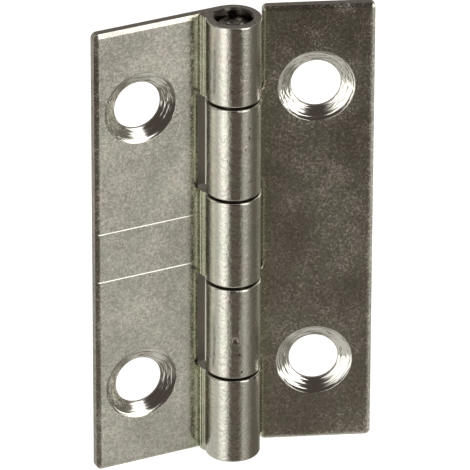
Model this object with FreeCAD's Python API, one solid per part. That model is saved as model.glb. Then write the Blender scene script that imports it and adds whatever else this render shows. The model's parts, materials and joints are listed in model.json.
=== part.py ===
"""A small rolled butt hinge: two sheet-steel leaves with interleaved knuckles on one staked pin.

Frame: millimetres, +Z up along the pin. The origin is the middle of the fixed leaf's two screw
holes, on the face that goes against the frame (its back). +Y points out of that back, and +X runs
across the fixed leaf towards the pin.

Each leaf is drawn in leaf axes first: u (X) from the pin axis out across the leaf, v (Y) from the
pin axis to the leaf's back, and z along the pin with its zero at mid height.
"""

import FreeCAD, Part

import math
import os

from FreeCAD import Vector

# ---------------------------------------------------------------- driving dimensions, mm, degrees
LEAF_HEIGHT = 50.0        # both leaves, along the pin
LEAF_REACH = 14.5         # pin axis to a leaf's outer edge
SHEET = 1.0               # sheet thickness
REST_OPENING = 160.0      # angle between the leaves' front faces as modelled: 0 is closed, 180 flat

PIN_DIAMETER = 3.6
PIN_CLEARANCE = 0.05      # radial, pin to rolled bore
PIN_RECESS = 0.8          # pin end below the end of the barrel
PIN_STAKED_LENGTH = 2.0   # each end of the pin, swelled to fill the end knuckle's bore
PIN_CHAMFER = 0.25
PIN_DIMPLE_DIAMETER = 1.4  # the staking punch's cone in each pin end
PIN_DIMPLE_DEPTH = 0.3

MIDDLE_KNUCKLE = 9.7      # length of the fixed leaf's middle knuckle
MOVING_KNUCKLE = 10.3     # length of each of the moving leaf's two knuckles
KNUCKLE_OFFSET = 0.33     # middle of the knuckles above the middle of the leaves
KNUCKLE_GAP = 0.3         # endplay between neighbouring knuckles
NOTCH_CLEARANCE = 0.2     # leaf's notch edge to the other leaf's barrel
BORE_FLARE = 0.2          # mouth of an end knuckle's bore, opened by the staking punch, each side
SEAM_GAP = 0.04           # curl's cut end to the leaf that it closes on
TIP_UPSET = 0.35          # curl's cut end, thicker than the sheet where it is pressed down on the leaf
TIP_TURN = 19.0           # the curl runs on round past the leaf's side by this angle, then out to its foot
FOOT_HEIGHT = 0.5         # square part of the foot, with the lip
LIP_LENGTH = 0.24         # sheared lip along the curl's cut end
LIP_HEIGHT = 0.07

HOLE_DIAMETER = 5.1       # clearance for a 4 mm wood screw
HOLE_SPACING = 31.7       # hole to hole, along the pin
FIXED_HOLE_MARGIN = 5.05  # fixed leaf's outer edge to the middle of its holes
MOVING_HOLE_MARGIN = 5.9  # moving leaf's outer edge to the middle of its holes
SINK_DIAMETER = 7.8       # mouth of the countersink, on the front
SINK_DEPTH = 0.8
SINK_LIP = 0.12           # rounding of the countersink's mouth

OUTER_CORNER = 0.6        # leaf corners away from the barrel
INNER_CORNER = 0.55       # moving leaf's corners beside the end knuckles
NOTCH_CORNER = 0.4        # roots of the knuckle notches
ROLL_WIDTH = 0.5          # die roll round each leaf's front edges, across the face
ROLL_DEPTH = 0.14         # and down the cut edge
ROLL_START = 5.0          # slope at which the die roll leaves the front face, degrees
EDGE_BREAK = 0.12         # tumbled rounding of the back edges
KNUCKLE_EDGE = 0.2        # rounding of the knuckles' ends

WITNESS_HEIGHTS = (2.4, -3.1)  # two die witness lines across the fixed leaf's front, from mid height
WITNESS_RADIUS = 0.13
WITNESS_DEPTH = 0.035
WITNESS_END_GAP = 0.75    # the lines stop this far short of the barrel
PRESS_MARK_HEIGHT = -10.6  # small press mark on the front of the lower moving knuckle, from mid height
PRESS_MARK_RADIUS = 1.0   # of the ball that makes it
PRESS_MARK_DEPTH = 0.08

# ---------------------------------------------------------------- sizes that follow
BORE_RADIUS = PIN_DIAMETER / 2 + PIN_CLEARANCE
BARREL_RADIUS = BORE_RADIUS + SHEET
NOTCH_EDGE = BARREL_RADIUS + NOTCH_CLEARANCE
HALF_HEIGHT = LEAF_HEIGHT / 2
FIXED_HOLE_REACH = LEAF_REACH - FIXED_HOLE_MARGIN    # pin axis to the middle of the holes
MOVING_HOLE_REACH = LEAF_REACH - MOVING_HOLE_MARGIN
PIN_AXIS = Vector(FIXED_HOLE_REACH, -BARREL_RADIUS, 0)

TOOL_MARGIN = 0.2         # how far a cutting tool runs past what it cuts
Z_AXIS = Vector(0, 0, 1)
V_AXIS = Vector(0, 1, 0)


def knuckle_spans():
    """(low z, high z) of the five knuckles from top to bottom; even places are the moving leaf's."""
    middle_low = KNUCKLE_OFFSET - MIDDLE_KNUCKLE / 2
    middle_high = middle_low + MIDDLE_KNUCKLE
    upper_low, lower_high = middle_high + KNUCKLE_GAP, middle_low - KNUCKLE_GAP
    upper_high, lower_low = upper_low + MOVING_KNUCKLE, lower_high - MOVING_KNUCKLE
    return [
        (upper_high + KNUCKLE_GAP, HALF_HEIGHT),
        (upper_low, upper_high),
        (middle_low, middle_high),
        (lower_low, lower_high),
        (-HALF_HEIGHT, lower_low - KNUCKLE_GAP),
    ]


# ---------------------------------------------------------------- leaf outline
def outline_corners(spans):
    """The blank's corners (u, z, radius), anticlockwise, with a tongue to u = 0 for each knuckle."""
    corners = [(LEAF_REACH, -HALF_HEIGHT, OUTER_CORNER), (LEAF_REACH, HALF_HEIGHT, OUTER_CORNER)]
    if spans[0][1] < HALF_HEIGHT:
        corners.append((NOTCH_EDGE, HALF_HEIGHT, INNER_CORNER))
    for low, high in spans:
        if high < HALF_HEIGHT:
            corners.append((NOTCH_EDGE, high, NOTCH_CORNER))
        corners += [(0, high, 0), (0, low, 0)]
        if low > -HALF_HEIGHT:
            corners.append((NOTCH_EDGE, low, NOTCH_CORNER))
    if spans[-1][0] > -HALF_HEIGHT:
        corners.append((NOTCH_EDGE, -HALF_HEIGHT, INNER_CORNER))
    return corners


def outline_edges(corners):
    """Straight and round edges of the outline, at v = 0, in order."""
    points = [Vector(u, 0, z) for u, z, _ in corners]
    edges, starts, ends, arcs = [], [], [], []
    for i, (_, _, radius) in enumerate(corners):
        towards = (points[i] - points[i - 1]).normalize()
        away = (points[(i + 1) % len(points)] - points[i]).normalize()
        start, end = points[i] - towards * radius, points[i] + away * radius
        centre = start + away * radius
        bulge = (points[i] - centre).normalize() if radius else Vector()
        starts.append(start)
        ends.append(end)
        arcs.append(Part.Arc(start, centre + bulge * radius, end).toShape() if radius else None)
    for i, arc in enumerate(arcs):
        if arc:
            edges.append(arc)
        edges.append(Part.makeLine(ends[i], starts[(i + 1) % len(starts)]))
    return edges


# ---------------------------------------------------------------- die roll
def roll_profile(origin, inward, inward_room):
    """Face of what the die roll takes off an edge: inward points into the leaf, +v down the edge."""
    def at(across, down):
        return origin + inward * across + V_AXIS * down

    chord = math.atan2(ROLL_DEPTH, ROLL_WIDTH)
    bow = chord - math.radians(ROLL_START)
    sagitta = math.hypot(ROLL_WIDTH, ROLL_DEPTH) / 2 * math.tan(bow / 2)
    middle = at(ROLL_WIDTH / 2 - sagitta * math.sin(chord), ROLL_DEPTH / 2 - sagitta * math.cos(chord))
    inner, foot = at(ROLL_WIDTH, 0), at(0, ROLL_DEPTH)
    outside = [foot, at(-inward_room, ROLL_DEPTH), at(-inward_room, -TOOL_MARGIN),
               at(ROLL_WIDTH, -TOOL_MARGIN), inner]
    sides = [Part.makeLine(a, b) for a, b in zip(outside, outside[1:])]
    return Part.Face(Part.Wire([Part.Arc(inner, middle, foot).toShape()] + sides))


def roll_tool(edge, front):
    """What the die roll takes off along one straight or round edge of an anticlockwise outline."""
    edge = edge.translated(V_AXIS * front)
    start = edge.firstVertex().Point if edge.Orientation == "Forward" else edge.lastVertex().Point
    end = edge.lastVertex().Point if edge.Orientation == "Forward" else edge.firstVertex().Point
    if isinstance(edge.Curve, Part.Circle):
        return round_roll(edge, start, end)
    along = end - start
    inward = V_AXIS.cross(along).normalize() * -1
    return roll_profile(start, inward, TOOL_MARGIN).extrude(along)


def round_roll(edge, start, end):
    """The die roll round a corner of the outline."""
    centre, radius = edge.Curve.Center, edge.Curve.Radius
    middle = edge.valueAt((edge.FirstParameter + edge.LastParameter) / 2)
    from_centre, to_end = start - centre, end - centre
    turn = math.degrees(from_centre.getAngle(to_end))
    sense = 1 if from_centre.cross(to_end).dot(V_AXIS) > 0 else -1
    convex = (end - start).cross(middle - start).dot(V_AXIS) > 0
    inward = from_centre.normalize() * (-1 if convex else 1)
    profile = roll_profile(start, inward, min(TOOL_MARGIN, radius / 2))
    return profile.revolve(centre, V_AXIS * sense, turn)


# ---------------------------------------------------------------- leaf
def flat_plate(spans):
    """The leaf's flat sheet, with its die roll in front and its broken edges behind."""
    front = BARREL_RADIUS - SHEET
    edges = outline_edges(outline_corners(spans))
    blank = Part.Face(Part.Wire(edges)).translated(V_AXIS * front).extrude(V_AXIS * SHEET)
    back_edges = [e for e in blank.Edges if on_back_outline(e)]
    blank = blank.makeFillet(EDGE_BREAK, back_edges)
    room = Part.makeBox(LEAF_REACH, 2 * BARREL_RADIUS, 2 * LEAF_HEIGHT,
                        Vector(BARREL_RADIUS, 0, -LEAF_HEIGHT))
    free = [e for e in edges if e.BoundBox.XMax > BARREL_RADIUS]
    tools = [roll_tool(e, front).common(room) for e in free]
    return blank.cut(tools)


def on_back_outline(edge):
    """True for an edge of the blank's back face, other than where a knuckle's curl grows from it."""
    box = edge.BoundBox
    return box.YMin > BARREL_RADIUS - SHEET / 2 and box.XMax > SHEET / 2


def curl(low, high):
    """One knuckle: the sheet from the back of the barrel round the pin, and down on to the leaf."""
    outer, inner = BARREL_RADIUS, BORE_RADIUS
    end = inner - SEAM_GAP
    tip = inner - TIP_UPSET
    tip_start = math.sqrt(inner ** 2 - tip ** 2)
    turn = math.radians(TIP_TURN)
    foot_start = Vector(outer * math.cos(turn), outer * math.sin(turn))
    section = [
        Part.Arc(Vector(0, outer), Vector(0, -outer), foot_start).toShape(),
        Part.makeLine(foot_start, Vector(outer, end - FOOT_HEIGHT)),
        Part.makeLine(Vector(outer, end - FOOT_HEIGHT), Vector(outer, end - LIP_LENGTH)),
        Part.Arc(Vector(outer, end - LIP_LENGTH), Vector(outer + LIP_HEIGHT, end - LIP_LENGTH / 2),
                 Vector(outer, end)).toShape(),
        Part.makeLine(Vector(outer, end), Vector(tip, end)),
        Part.makeLine(Vector(tip, end), Vector(tip, tip_start)),
        Part.Arc(Vector(tip, tip_start), Vector(0, -inner), Vector(0, inner)).toShape(),
        Part.makeLine(Vector(0, inner), Vector(0, outer)),
    ]
    solid = Part.Face(Part.Wire(section)).translated(Z_AXIS * low).extrude(Z_AXIS * (high - low))
    return solid.makeFillet(KNUCKLE_EDGE, [e for e in solid.Edges if on_round_end(e)])


def on_round_end(edge):
    """True for the barrel's round outer edge at either end of a knuckle."""
    level = edge.BoundBox.ZLength < KNUCKLE_EDGE / 2
    return level and isinstance(edge.Curve, Part.Circle) and edge.Curve.Radius > BORE_RADIUS + SHEET / 2


def screw_hole(reach, height):
    """A clearance hole with its countersink and the rounded mouth, as a solid to take away."""
    front = BARREL_RADIUS - SHEET
    hole, mouth = HOLE_DIAMETER / 2, SINK_DIAMETER / 2
    slope = (mouth - hole) / SINK_DEPTH
    flare = mouth + slope * TOOL_MARGIN
    half_turn = math.atan(slope)
    lip_reach = SINK_LIP * math.tan((math.pi / 2 - half_turn) / 2)
    lip_start = Vector(mouth + lip_reach, front)
    lip_end = Vector(mouth - lip_reach * math.sin(half_turn), front + lip_reach * math.cos(half_turn))
    lip_centre = Vector(mouth + lip_reach, front + SINK_LIP)
    lip_middle = lip_centre + ((lip_start + lip_end) / 2 - lip_centre).normalize() * SINK_LIP
    floor = BARREL_RADIUS + TOOL_MARGIN
    rim = front - TOOL_MARGIN
    half = [
        Part.Arc(lip_start, lip_middle, lip_end).toShape(),
        Part.makeLine(lip_end, Vector(hole, front + SINK_DEPTH)),
        Part.makeLine(Vector(hole, front + SINK_DEPTH), Vector(hole, floor)),
        Part.makeLine(Vector(hole, floor), Vector(0, floor)),
        Part.makeLine(Vector(0, floor), Vector(0, rim)),
        Part.makeLine(Vector(0, rim), Vector(flare, rim)),
        Part.makeLine(Vector(flare, rim), lip_start),
    ]
    tool = Part.Face(Part.Wire(half)).revolve(Vector(), V_AXIS, 360)
    return tool.translated(Vector(reach, 0, height))


def witness_line(height):
    """A shallow groove across the leaf's front, from its outer edge to just short of the barrel."""
    centre = Vector(BARREL_RADIUS + WITNESS_END_GAP,
                    BARREL_RADIUS - SHEET - WITNESS_RADIUS + WITNESS_DEPTH, height)
    return Part.makeCylinder(WITNESS_RADIUS, LEAF_REACH, centre, Vector(1, 0, 0))


def leaf(spans, hole_reach):
    """One leaf in leaf axes."""
    plate = flat_plate(spans)
    holes = [screw_hole(hole_reach, side * HOLE_SPACING / 2) for side in (1, -1)]
    return plate.cut(holes).fuse([curl(low, high) for low, high in spans]).removeSplitter()


def bore_mouth():
    """What the flare takes off the top end of the bore."""
    mouth = BORE_RADIUS + BORE_FLARE
    return Part.makeCone(BORE_RADIUS - TOOL_MARGIN, mouth + TOOL_MARGIN, BORE_FLARE + 2 * TOOL_MARGIN,
                         Vector(0, 0, HALF_HEIGHT - BORE_FLARE - TOOL_MARGIN))


def fixed_leaf():
    """Top, middle and bottom knuckles, on the left of the pin, with the two die witness lines."""
    solid = leaf(knuckle_spans()[0::2], FIXED_HOLE_REACH)
    mouth = bore_mouth()
    solid = solid.cut([mouth, mouth.mirror(Vector(), Z_AXIS)])
    solid = solid.cut([witness_line(height) for height in WITNESS_HEIGHTS])
    return solid.mirror(Vector(), Vector(1, 0, 0)).translated(PIN_AXIS)


def moving_leaf():
    """The two knuckles between, on the right of the pin, with a press mark, at the rest opening."""
    ball_centre = Vector(0, PRESS_MARK_DEPTH - PRESS_MARK_RADIUS - BARREL_RADIUS, PRESS_MARK_HEIGHT)
    solid = leaf(knuckle_spans()[1::2], MOVING_HOLE_REACH)
    solid = solid.cut(Part.makeSphere(PRESS_MARK_RADIUS, ball_centre))
    solid.rotate(Vector(), Z_AXIS, REST_OPENING - 180)
    return solid.translated(PIN_AXIS)


# ---------------------------------------------------------------- pin
def hinge_pin():
    """A plain pin with both ends swelled to grip the end knuckles, below the ends of the barrel."""
    end = HALF_HEIGHT - PIN_RECESS
    shank = Part.makeCylinder(PIN_DIAMETER / 2, 2 * end, Vector(0, 0, -end))
    top = staked_end(end)
    bottom = top.mirror(Vector(), Z_AXIS)
    dimple = Part.makeCone(0, PIN_DIMPLE_DIAMETER / 2, PIN_DIMPLE_DEPTH,
                           Vector(0, 0, end - PIN_DIMPLE_DEPTH))
    solid = shank.common(Part.makeBox(LEAF_REACH, LEAF_REACH, 2 * (end - PIN_STAKED_LENGTH),
                                      Vector(-LEAF_REACH / 2, -LEAF_REACH / 2, PIN_STAKED_LENGTH - end)))
    solid = solid.fuse([top, bottom]).cut([dimple, dimple.mirror(Vector(), Z_AXIS)])
    return solid.translated(PIN_AXIS)


def staked_end(end):
    """The swelled top end of the pin, with its chamfer."""
    solid = Part.makeCylinder(BORE_RADIUS, PIN_STAKED_LENGTH, Vector(0, 0, end - PIN_STAKED_LENGTH))
    rim = [e for e in solid.Edges if e.BoundBox.ZMin > end - PIN_CHAMFER / 2]
    return solid.makeChamfer(PIN_CHAMFER, rim)


# ---------------------------------------------------------------- write
os.makedirs("parts", exist_ok=True)
for name, build in (("fixed_leaf", fixed_leaf), ("moving_leaf", moving_leaf), ("hinge_pin", hinge_pin)):
    shape = build()
    shape.exportStep("parts/" + name + ".step")
    print(name, "solids", len(shape.Solids), "valid", shape.isValid(), "volume", round(shape.Volume, 3))
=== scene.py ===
import json
import math
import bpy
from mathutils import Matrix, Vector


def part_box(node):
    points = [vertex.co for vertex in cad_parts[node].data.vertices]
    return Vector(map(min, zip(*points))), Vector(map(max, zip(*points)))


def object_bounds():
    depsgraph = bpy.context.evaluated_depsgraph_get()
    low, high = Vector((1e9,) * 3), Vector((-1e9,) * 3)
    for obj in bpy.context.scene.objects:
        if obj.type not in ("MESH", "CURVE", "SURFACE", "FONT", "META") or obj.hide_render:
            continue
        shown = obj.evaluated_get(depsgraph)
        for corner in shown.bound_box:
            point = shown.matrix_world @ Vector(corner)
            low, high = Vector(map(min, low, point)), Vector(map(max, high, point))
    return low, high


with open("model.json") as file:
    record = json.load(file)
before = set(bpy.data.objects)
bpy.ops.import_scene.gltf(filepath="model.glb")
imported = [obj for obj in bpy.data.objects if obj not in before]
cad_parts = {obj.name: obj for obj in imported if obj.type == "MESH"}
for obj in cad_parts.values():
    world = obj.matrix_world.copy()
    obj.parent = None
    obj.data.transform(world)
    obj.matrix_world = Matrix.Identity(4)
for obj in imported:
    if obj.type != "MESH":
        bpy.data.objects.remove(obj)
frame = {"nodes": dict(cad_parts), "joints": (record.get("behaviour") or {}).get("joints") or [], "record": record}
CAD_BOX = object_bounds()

from types import SimpleNamespace

import bpy
from mathutils import Quaternion, Vector

MM = 0.001

# ---------------------------------------------------------------- places read from the frame
RECORD = frame["record"]
MOUNTS = {mount["name"]: mount for mount in RECORD["mounts"]}
PIN_AXIS = Vector(frame["joints"][0]["pos_m"])
FLOOR_HEIGHT = CAD_BOX[0].z

# ---------------------------------------------------------------- the leaves' own sizes, mm
BARREL_RADIUS = 2.85      # also from the pin's axis to a leaf's back
FRONT_FACE = 1.85         # from the pin's axis to a leaf's front
BORE_WALL = 2.4           # from the pin's axis to the middle of the rolled sheet
SINK_RADIUS = 3.9         # mouth of the countersinks
SINK_FLOOR = 2.65         # from the level of the pin's axis to the bottom of the countersinks
WITNESS_HEIGHTS = (2.4, -3.1)  # die lines across the fixed leaf's front, from mid height
WITNESS_START = 3.4       # from the pin's axis to where those lines begin
CARD_REACH = 3.6          # how far the shade card goes from the pin's axis
CARD_HEIGHT = 36.0
CARD_GAP = 0.2            # between the card and the fixed leaf's back

# ---------------------------------------------------------------- camera
VIEW_AZIMUTH = -25.3      # degrees; 0 looks along +Y
VIEW_ELEVATION = 28.28
VIEW_ROLL = 0.2           # degrees
VIEW_DISTANCE = 0.6927    # metres
VIEW_TARGET = PIN_AXIS + Vector((0.176, -0.083, 0.155)) * MM
LENS = 521.1              # mm
SENSOR_WIDTH = 36.0       # mm


def add_camera():
    """A long lens in front of the hinge, to its left and above it."""
    azimuth, elevation = math.radians(VIEW_AZIMUTH), math.radians(VIEW_ELEVATION)
    back = Vector((math.sin(azimuth) * math.cos(elevation),
                   -math.cos(azimuth) * math.cos(elevation), math.sin(elevation)))
    camera = bpy.data.objects.new("camera", bpy.data.cameras.new("camera"))
    bpy.context.scene.collection.objects.link(camera)
    camera.data.sensor_width = SENSOR_WIDTH
    camera.data.lens = LENS
    camera.data.clip_start, camera.data.clip_end = 0.01, 20.0
    camera.location = VIEW_TARGET + back * VIEW_DISTANCE
    camera.rotation_mode = "QUATERNION"
    upright = (-back).to_track_quat("-Z", "Y")
    camera.rotation_quaternion = upright @ Quaternion((0, 0, 1), math.radians(VIEW_ROLL))
    bpy.context.scene.camera = camera


# ---------------------------------------------------------------- node helpers
def add(tree, kind, inputs=None, output=0, **settings):
    """Adds a node, sets or links its inputs, and gives back one of its outputs."""
    node = tree.nodes.new(kind)
    for name, value in settings.items():
        setattr(node, name, value)
    for key, value in (inputs or {}).items():
        socket = node.inputs[key]
        if isinstance(value, bpy.types.NodeSocket):
            tree.links.new(value, socket)
        else:
            socket.default_value = value
    return None if output is None else node.outputs[output]


def math_node(tree, operation, *values, clamp=False):
    return add(tree, "ShaderNodeMath", dict(enumerate(values)), operation=operation, use_clamp=clamp)


def vector_node(tree, operation, *values, output="Vector", **named):
    return add(tree, "ShaderNodeVectorMath", {**dict(enumerate(values)), **named}, output=output,
               operation=operation)


def ramp(tree, value, start, end, low=0.0, high=1.0):
    """low up to start, high from end, and smooth between them."""
    inputs = {"Value": value, "From Min": start, "From Max": end, "To Min": low, "To Max": high}
    return add(tree, "ShaderNodeMapRange", inputs, interpolation_type="SMOOTHSTEP")


def mix(tree, factor, first, second):
    """Mixes two colours."""
    return add(tree, "ShaderNodeMix", {0: factor, 6: first, 7: second}, output=2, data_type="RGBA")


def noise(tree, place, scale, detail=2.0, roughness=0.5, distortion=0.0):
    """Noise about 0.5, with scale in features per millimetre."""
    inputs = {"Vector": place, "Scale": scale, "Detail": detail, "Roughness": roughness,
              "Distortion": distortion}
    return add(tree, "ShaderNodeTexNoise", inputs)


def blend(tree, factor, first, second):
    """Mixes two numbers."""
    return add(tree, "ShaderNodeMix", {0: factor, 2: first, 3: second}, data_type="FLOAT")


def times(tree, *factors):
    """The product of two numbers or more."""
    product, *rest = factors
    for factor in rest:
        product = math_node(tree, "MULTIPLY", product, factor)
    return product


def tinted(tree, colour, scale):
    """A colour made lighter or darker."""
    return vector_node(tree, "SCALE", colour, Scale=scale)


def length(tree, first, second):
    """Length of the side across from a right angle."""
    return math_node(tree, "SQRT", math_node(tree, "ADD", times(tree, first, first),
                                             times(tree, second, second)))


def part(tree, vector, axis):
    return add(tree, "ShaderNodeSeparateXYZ", {0: vector}, output=axis)


def around(tree, angle, degrees, soft, sense):
    """A smooth step of the angle at some degrees, up where sense is 1 and down where it is -1."""
    ends = (0.0, 1.0) if sense > 0 else (1.0, 0.0)
    return ramp(tree, angle, math.radians(degrees - soft), math.radians(degrees + soft), *ends)


def new_material(name):
    material = bpy.data.materials.new(name)
    material.use_nodes = True
    material.node_tree.nodes.clear()
    return material, material.node_tree


# ---------------------------------------------------------------- studio
WHITE = (1.0, 1.0, 1.0, 1.0)
TABLE = (0.75, 0.735, 0.69, 1.0)
# What the metal sees round it: (name, azimuth of the middle, half width, softness across, lowest
# elevation, highest elevation, softness up and down, colour), in degrees, with azimuth anticlockwise
# from +X. Later ones cover earlier ones. They were set until the plate looked as it does in the
# photograph, so this is not plain light: among plain white surroundings the plate renders much paler.
STUDIO_PANELS = [
    ("room", 0, 200, 10, -14, 100, 8, (0.34, 0.32, 0.30, 1.0)),
    ("far side", 85, 55, 20, -14, 10, 8, (0.62, 0.60, 0.56, 1.0)),
    ("right card", -2, 50, 30, -57, 25, 6, (0.178, 0.160, 0.132, 1.0)),
    ("near table", -105, 28, 12, -62, -20, 6, (0.22, 0.19, 0.16, 1.0)),
    ("camera side", -105, 28, 12, -28, 60, 4, (0.085, 0.07, 0.06, 1.0)),
    ("top softbox", -64, 13, 4, -19, 65, 3, (2.6, 2.56, 2.46, 1.0)),
    ("left softbox", -155, 14, 13, -31, 60, 3, (2.05, 2.04, 1.97, 1.0)),
]


def add_world():
    """White to camera rays only. Glossy rays are left out, so the metal sees the panels above, on a
    pale table, and not the white background."""
    world = bpy.data.worlds.new("studio")
    bpy.context.scene.world = world
    world.use_nodes = True
    tree = world.node_tree
    tree.nodes.clear()
    direction = add(tree, "ShaderNodeTexCoord", output="Generated")
    elevation = math_node(tree, "ARCSINE", part(tree, direction, "Z"))
    colour = TABLE
    for _, middle, half_width, soft_across, lowest, highest, soft, panel in STUDIO_PANELS:
        turned = add(tree, "ShaderNodeVectorRotate",
                     {"Vector": direction, "Angle": -math.radians(middle)}, rotation_type="Z_AXIS")
        off_middle = math_node(tree, "ABSOLUTE", math_node(
            tree, "ARCTAN2", part(tree, turned, "Y"), part(tree, turned, "X")))
        inside = times(tree, around(tree, off_middle, half_width, soft_across, -1),
                       around(tree, elevation, lowest, soft, 1),
                       around(tree, elevation, highest, soft, -1))
        colour = mix(tree, inside, colour, panel)
    is_camera = add(tree, "ShaderNodeLightPath", output="Is Camera Ray")
    shown = mix(tree, is_camera, colour, WHITE)
    background = add(tree, "ShaderNodeBackground", {"Color": shown, "Strength": 1.0})
    add(tree, "ShaderNodeOutputWorld", {"Surface": background}, output=None)


def add_floor():
    """A plain white floor that keeps a light shadow, and that the metal does not reflect."""
    floor = add_plane("floor", (0, 0, FLOOR_HEIGHT), (4.0, 4.0))
    material, tree = new_material("white_floor")
    lit = add(tree, "ShaderNodeBsdfDiffuse", {"Color": (0.9, 0.9, 0.9, 1.0)})
    is_camera = add(tree, "ShaderNodeLightPath", output="Is Camera Ray")
    lift = math_node(tree, "MULTIPLY", is_camera, 0.75)
    white = add(tree, "ShaderNodeEmission", {"Color": WHITE, "Strength": lift})
    surface = add(tree, "ShaderNodeAddShader", {0: lit, 1: white})
    add(tree, "ShaderNodeOutputMaterial", {"Surface": surface}, output=None)
    floor.data.materials.append(material)
    floor.visible_glossy = False
    floor.visible_shadow = False


def add_shade_card():
    """A grey card close behind the fixed leaf's notches, in place of the surface that the hinge lies on in
    the photograph: painted shade, darker than that pale surface, that shows only through the notches, in the
    hinge's shadow, and not from behind."""
    _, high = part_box("fixed_leaf")
    width = CARD_REACH * MM
    centre = (PIN_AXIS.x - width / 2, high[1] + CARD_GAP * MM, 0)
    card = add_plane("shade_card", centre, (width, CARD_HEIGHT * MM))
    card.rotation_euler = (math.radians(90), 0, 0)
    material, tree = new_material("shade_card")
    # Its mid grey colour is painted shade, darker than the pale surface it stands for.
    pale = add(tree, "ShaderNodeBsdfDiffuse", {"Color": (0.44, 0.40, 0.36, 1.0)})
    clear = add(tree, "ShaderNodeBsdfTransparent")
    behind = add(tree, "ShaderNodeNewGeometry", output="Backfacing")
    surface = add(tree, "ShaderNodeMixShader", {0: behind, 1: pale, 2: clear})
    add(tree, "ShaderNodeOutputMaterial", {"Surface": surface}, output=None)
    card.data.materials.append(material)
    card.visible_shadow = False
    card.visible_glossy = False
    card.visible_diffuse = False


def add_plane(name, centre, size):
    """A rectangle, level until it is turned, that is part of the studio and not of the hinge."""
    bpy.ops.mesh.primitive_plane_add(size=1.0, location=centre)
    plane = bpy.context.object
    plane.name = name
    plane.scale = (size[0], size[1], 1.0)
    return plane


# ---------------------------------------------------------------- materials
def leaf_places(tree, mount):
    """Where a point lies on a leaf, in mm from the pin's axis: u out across the leaf, v to its back and
    z along the pin, and the same from its nearer screw hole."""
    back = Vector(mount["axis"])
    to_holes = Vector(mount["pos_m"]) - PIN_AXIS
    across = (to_holes - back * to_holes.dot(back)).normalized()
    hole_reach = to_holes.dot(across) / MM
    dims = mount["dims"]
    hole_height = dims.get("spacing_y_mm", dims.get("pcd_mm")) / 2

    coordinates = tree.nodes.new("ShaderNodeTexCoord")
    facing = coordinates.outputs["Normal"]
    at_pin = vector_node(tree, "SUBTRACT", coordinates.outputs["Object"], PIN_AXIS)
    place = vector_node(tree, "SCALE", at_pin, Scale=1 / MM)
    u = vector_node(tree, "DOT_PRODUCT", place, across, output="Value")
    v = vector_node(tree, "DOT_PRODUCT", place, back, output="Value")
    z = part(tree, place, "Z")
    hole_u = math_node(tree, "SUBTRACT", u, hole_reach)
    hole_z = math_node(tree, "SUBTRACT", math_node(tree, "ABSOLUTE", z), hole_height)
    side_on = vector_node(tree, "DOT_PRODUCT", facing, across, output="Value")
    return SimpleNamespace(
        place=place, u=u, v=v, z=z, from_pin=length(tree, u, v), hole_u=hole_u, hole_z=hole_z,
        from_hole=length(tree, hole_u, hole_z), hole_radius=dims["hole_r_mm"],
        end_on=math_node(tree, "ABSOLUTE", part(tree, facing, "Z")),
        side_on=math_node(tree, "ABSOLUTE", side_on))


def leaf_zones(tree, at, witness_heights):
    """Masks, 1 inside: the barrel, its bore (painted shade), the curl's foot (painted reflection tint),
    countersinks, cut edges, witness lines (painted highlight).
    """
    beyond_barrel = BARREL_RADIUS + 0.05, BARREL_RADIUS + 0.15
    end_face = ramp(tree, at.end_on, 0.86, 0.96)
    in_bore = ramp(tree, at.from_pin, BORE_WALL - 0.02, BORE_WALL + 0.02, 1.0, 0.0)
    cut_side = times(tree, ramp(tree, at.side_on, 0.8, 0.9), ramp(tree, at.u, *beyond_barrel))
    hole_wall = ramp(tree, at.from_hole, at.hole_radius + 0.02, at.hole_radius + 0.06, 1.0, 0.0)
    cut = math_node(tree, "MAXIMUM", math_node(tree, "MAXIMUM", end_face, cut_side), hole_wall)
    return SimpleNamespace(
        barrel=ramp(tree, at.from_pin, *beyond_barrel, 1.0, 0.0),
        bore_shade=math_node(tree, "SUBTRACT", in_bore, end_face, clamp=True),
        foot=times(tree, ramp(tree, at.u, 3.6, 4.4, 1.0, 0.0), ramp(tree, at.v, 2.0, 2.6, 1.0, 0.0)),
        sink=times(tree, ramp(tree, at.from_hole, SINK_RADIUS, SINK_RADIUS + 0.06, 1.0, 0.0),
                   ramp(tree, at.v, SINK_FLOOR + 0.01, SINK_FLOOR + 0.07, 1.0, 0.0)),
        cut=cut,
        witness_highlight=witness_highlight_mask(tree, at, witness_heights))


def witness_highlight_mask(tree, at, heights):
    """Painted highlight along thin lines across the front at these heights, fainter in the upper half."""
    if not heights:
        return 0.0
    offsets = (math_node(tree, "ABSOLUTE", math_node(tree, "SUBTRACT", at.z, height))
               for height in heights)
    nearest = math_node(tree, "MINIMUM", *offsets)
    return times(tree, ramp(tree, at.u, WITNESS_START, WITNESS_START + 0.3),
                 ramp(tree, at.v, FRONT_FACE + 0.05, FRONT_FACE + 0.07, 1.0, 0.0),
                 ramp(tree, nearest, 0.06, 0.11, 1.0, 0.0),
                 ramp(tree, at.z, -1.0, 1.0, 1.0, 0.6))


def turned_rings(tree, at, seed):
    """The countersink cutter's rings, broken here and there."""
    spread = math_node(tree, "DIVIDE", 0.7, at.from_hole)
    around_hole = add(tree, "ShaderNodeCombineXYZ", {
        "X": times(tree, at.from_hole, 4.4),
        "Y": math_node(tree, "MULTIPLY_ADD", at.hole_u, spread, seed),
        "Z": math_node(tree, "MULTIPLY_ADD", at.hole_z, spread, at.z)})
    return noise(tree, around_hole, 1.0, 1.0)


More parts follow.
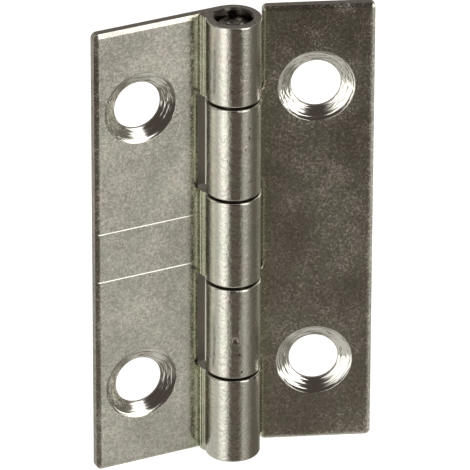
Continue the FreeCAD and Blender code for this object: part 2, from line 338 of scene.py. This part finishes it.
def plated_sheet(name, seed, mount, witness_heights=()):
    """Bright zinc plate on rolled sheet: patchy tints, fine flecks, turned countersinks, cut edges."""
    material, tree = new_material(name)
    at = leaf_places(tree, mount)
    zone = leaf_zones(tree, at, witness_heights)

    # the plate's marks, from the widest to the finest
    shifted = vector_node(tree, "ADD", at.place, (seed, 2 * seed, -seed))
    clouds = noise(tree, shifted, 0.13, 2.0, 0.5)
    patches = noise(tree, shifted, 0.45, 2.0, 0.5)
    swell = noise(tree, shifted, 0.9, 1.0, 0.5)
    hollows = noise(tree, shifted, 1.3, 1.0, 0.4)
    mottle = noise(tree, shifted, 2.6, 4.0, 0.65)
    dots = noise(tree, shifted, 4.6, 1.0, 0.5)
    grain = noise(tree, shifted, 5.0, 2.0, 0.6)
    along_leaf = vector_node(tree, "MULTIPLY", shifted, (0.3, 0.3, 9.0))
    scuffs = noise(tree, along_leaf, 1.0, 2.0, 0.7, 0.5)
    through_sheet = vector_node(tree, "MULTIPLY", at.place, (5.0, 0.8, 5.0))
    streaks = noise(tree, through_sheet, 1.0, 2.0, 0.6)
    rings = turned_rings(tree, at, seed)

    # colour
    tint = mix(tree, ramp(tree, patches, 0.30, 0.70), (0.570, 0.573, 0.503, 1.0),
               (0.593, 0.560, 0.508, 1.0))
    shade = times(tree, ramp(tree, mottle, 0.34, 0.66, 0.83, 1.11),
                  ramp(tree, grain, 0.32, 0.68, 0.84, 1.14),
                  ramp(tree, clouds, 0.30, 0.70, 0.83, 1.06))
    # Small dark dots on the barrel: painted shade of pits.
    pit_shade = ramp(tree, hollows, 0.20, 0.26, 0.45, 1.0)
    barrel_tone_and_pit_shade = times(tree, pit_shade, math_node(tree, "MULTIPLY_ADD", shade, 0.3, 0.7))
    sheet_colour = tinted(tree, tint, shade)
    # Greener and darker on the curl's foot beside the barrel: a painted reflection tint.
    foot_reflection_tint = vector_node(tree, "MULTIPLY", sheet_colour, (0.94, 0.97, 0.85))
    cut_colour = tinted(tree, (0.33, 0.30, 0.27), ramp(tree, streaks, 0.3, 0.7, 0.7, 1.2))
    colour = sheet_colour
    # The witness lines' lighter colour is a painted highlight.
    for mask, over in ((zone.witness_highlight, (0.70, 0.69, 0.65, 1.0)), (zone.foot, foot_reflection_tint),
                       (zone.barrel, tinted(tree, tint, barrel_tone_and_pit_shade)),
                       (zone.sink, (0.66, 0.645, 0.60, 1.0)), (zone.cut, cut_colour),
                       # The bore's inside is painted near black: painted shade.
                       (zone.bore_shade, (0.09, 0.08, 0.07, 1.0))):
        colour = mix(tree, mask, colour, over)

    # roughness
    flecks = ramp(tree, math_node(tree, "MULTIPLY_ADD", patches, 0.45, grain), 0.70, 0.98)
    specks = ramp(tree, math_node(tree, "MULTIPLY_ADD", clouds, 0.5, dots), 0.86, 0.98)
    scratches = times(tree, ramp(tree, scuffs, 0.60, 0.70), ramp(tree, patches, 0.5, 0.6))
    worn = math_node(tree, "MULTIPLY_ADD", mottle, 0.35, math_node(tree, "MAXIMUM", flecks, specks))
    worn = math_node(tree, "MULTIPLY_ADD", scratches, 0.4, worn)
    polish = ramp(tree, clouds, 0.35, 0.65, 0.09, 0.16)
    rough = math_node(tree, "MULTIPLY_ADD", worn, 0.24, polish)
    for mask, over in ((zone.witness_highlight, 0.28),
                       (zone.barrel, ramp(tree, mottle, 0.35, 0.65, 0.08, 0.17)),
                       (zone.sink, 0.13), (zone.cut, 0.34)):
        rough = blend(tree, mask, rough, over)

    # relief, mm
    relief = blend(tree, zone.barrel, times(tree, mottle, 0.006), times(tree, mottle, 0.030))
    relief = math_node(tree, "MULTIPLY_ADD", grain, 0.0015, relief)
    relief = math_node(tree, "MULTIPLY_ADD", zone.barrel, times(tree, swell, 0.02), relief)
    rim = ramp(tree, at.from_hole, SINK_RADIUS - 0.30, SINK_RADIUS, 0.0, -0.06)
    relief = blend(tree, zone.sink, relief, math_node(tree, "MULTIPLY_ADD", rings, 0.065, rim))
    add_metal(tree, colour, rough, relief)
    return material


def add_metal(tree, colour, rough, relief):
    """Bare metal with relief in mm, as the material's surface."""
    normal = add(tree, "ShaderNodeBump", {"Strength": 1.0, "Distance": MM, "Height": relief})
    shader = add(tree, "ShaderNodeBsdfPrincipled",
                 {"Base Color": colour, "Metallic": 1.0, "Roughness": rough, "Normal": normal})
    add(tree, "ShaderNodeOutputMaterial", {"Surface": shader}, output=None)


def pin_steel():
    """Plain drawn wire, dull and darker than the plated sheet."""
    material, tree = new_material("pin_steel")
    place = vector_node(tree, "SCALE", add(tree, "ShaderNodeTexCoord", output="Object"), Scale=1 / MM)
    # Blotches from near black to mid grey over the pin.
    dark_blotches = noise(tree, place, 2.5, 3.0, 0.6)
    colour = mix(tree, ramp(tree, dark_blotches, 0.35, 0.65), (0.07, 0.06, 0.055, 1.0), (0.30, 0.27, 0.24, 1.0))
    # Bright specks over the pin: painted glints.
    glint_specks = ramp(tree, noise(tree, place, 1.7, 1.0, 0.5), 0.60, 0.66)
    colour = mix(tree, glint_specks, colour, (0.92, 0.89, 0.84, 1.0))
    add_metal(tree, colour, 0.16, times(tree, dark_blotches, 0.06))
    return material


def paint(node, material):
    frame["nodes"][node].material_slots[0].material = material


# ---------------------------------------------------------------- scene
bpy.context.scene.view_settings.view_transform = "Standard"
add_camera()
add_world()
add_floor()
add_shade_card()
paint("fixed_leaf", plated_sheet("fixed_leaf_zinc", 3.0, MOUNTS["fixed_leaf_screws"], WITNESS_HEIGHTS))
paint("moving_leaf", plated_sheet("moving_leaf_zinc", 17.0, MOUNTS["moving_leaf_screws"]))
paint("hinge_pin", pin_steel())
